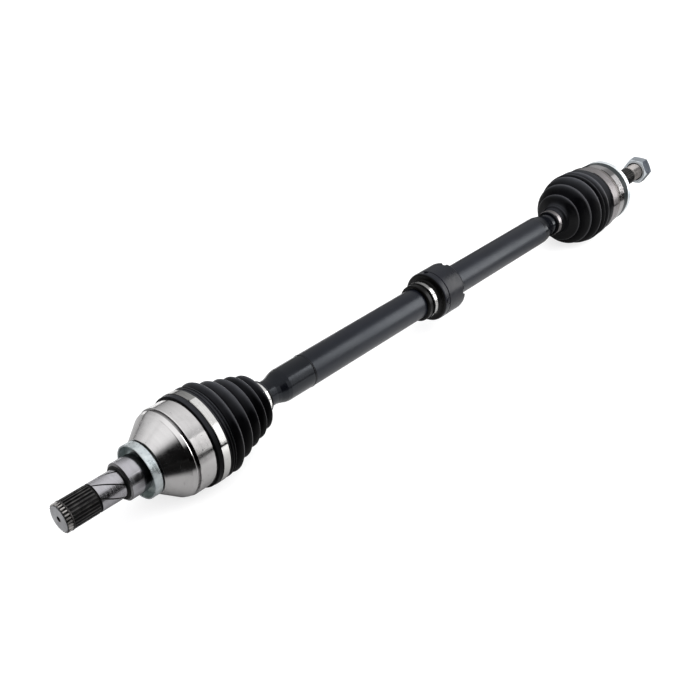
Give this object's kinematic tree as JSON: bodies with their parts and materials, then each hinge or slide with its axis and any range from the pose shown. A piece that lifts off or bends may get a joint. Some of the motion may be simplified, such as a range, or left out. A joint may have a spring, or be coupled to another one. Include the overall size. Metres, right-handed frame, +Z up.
{
  "type": "cv axle",
  "caption": "Drive axle: tubular bar with a damper, a plunging tripod joint and splined stub at one end, a fixed ball joint with threaded stub and nut at the other, rubber boots over both.",
  "frame": {"origin": "centre of the end face of the gearbox stub", "axes": "+X along the axle towards the wheel end, +Z up"},
  "size_m": [0.9745, 0.0918, 0.0918],
  "materials": {
    "forged_steel": "turned bright",
    "dark_steel": "phosphated",
    "zinc_plate": "clear zinc plated",
    "hardened_steel": "ground",
    "shaft_paint": "satin black paint",
    "ball_steel": "polished",
    "bell_steel": "turned",
    "black_band": "semi-gloss",
    "nut_zinc": "clear zinc plated",
    "boot_rubber": "semi-matt",
    "stainless_band": "rolled stainless",
    "damper_rubber": "matt"
  },
  "bodies": {
    "shaft": {"inner_shaft_end": "shaft_paint", "shaft_tube": "shaft_paint", "outer_shaft_end": "shaft_paint", "spider": "hardened_steel", "spider_circlip": "dark_steel", "needle_ring_2": "hardened_steel", "needle_ring_3": "hardened_steel", "roller_retainer_1": "dark_steel", "roller_retainer_2": "dark_steel", "roller_retainer_3": "dark_steel", "inner_race": "hardened_steel", "race_circlip": "dark_steel", "inner_boot_small_clamp": "stainless_band", "outer_boot_small_clamp": "stainless_band", "inner_boot": "boot_rubber", "outer_boot": "boot_rubber", "damper_rubber": "damper_rubber", "damper_clamp": "stainless_band"},
    "damper_weight": {"damper_mass": "dark_steel"},
    "bell": {"outer_race": "bell_steel", "bell_band": "black_band", "bell_strap": "stainless_band", "bell_dust_ring": "zinc_plate", "axle_nut": "nut_zinc", "outer_boot_large_clamp": "stainless_band"},
    "cage": {"ball_cage": "dark_steel", "balls": "ball_steel"},
    "trunnion_bearing": {"needle_ring_1": "hardened_steel"},
    "housing": {"tulip_housing": "forged_steel", "stub_circlip": "dark_steel", "dust_shield": "zinc_plate", "inner_boot_large_clamp": "stainless_band"},
    "roller_a": {"roller_1": "hardened_steel"},
    "roller_b": {"roller_2": "hardened_steel"},
    "roller_c": {"roller_3": "hardened_steel"}
  },
  "joints": [
    {"name": "outer_bend", "type": "hinge", "parent": "shaft", "child": "bell", "pos_m": [0.824, 0, 0], "axis": [0, 0, 1], "range_deg": [-42, 42], "deforming": ["outer_boot"]},
    {"name": "outer_cage", "type": "hinge", "parent": "shaft", "child": "cage", "pos_m": [0.824, 0, 0], "axis": [0, 0, 1], "range_deg": [-22, 22]},
    {"name": "inner_bend", "type": "hinge", "parent": "shaft", "child": "trunnion_bearing", "pos_m": [0.128, 0, 0], "axis": [0, 1, 0], "range_deg": [-20, 20], "deforming": ["inner_boot"]},
    {"name": "inner_plunge", "type": "slide", "parent": "trunnion_bearing", "child": "housing", "axis": [1, 0, 0], "range_m": [-0.012, 0.009], "deforming": ["inner_boot"]},
    {"name": "damper_shear", "type": "slide", "parent": "shaft", "child": "damper_weight", "axis": [1, 0, 0], "range_m": [-0.001, 0.001], "stiffness_N_per_m": 20000, "deforming": ["damper_rubber"]},
    {"name": "roller_a_roll", "type": "hinge", "parent": "shaft", "child": "roller_a", "pos_m": [0.128, 0.025, 0], "axis": [0, 1, 0], "range_deg": [-46, 36]},
    {"name": "roller_b_roll", "type": "hinge", "parent": "shaft", "child": "roller_b", "pos_m": [0.128, -0.0125, 0.02165], "axis": [0, -0.5, 0.866], "range_deg": [-46, 36]},
    {"name": "roller_c_roll", "type": "hinge", "parent": "shaft", "child": "roller_c", "pos_m": [0.128, -0.0125, -0.02165], "axis": [0, -0.5, -0.866], "range_deg": [-46, 36]}
  ],
  "couplings": [
    {"joint": "outer_cage", "follows": "outer_bend", "ratio": 0.5},
    {"joint": "roller_a_roll", "follows": "inner_plunge", "rad_per_m": 62.5},
    {"joint": "roller_b_roll", "follows": "inner_plunge", "rad_per_m": 62.5},
    {"joint": "roller_c_roll", "follows": "inner_plunge", "rad_per_m": 62.5}
  ]
}
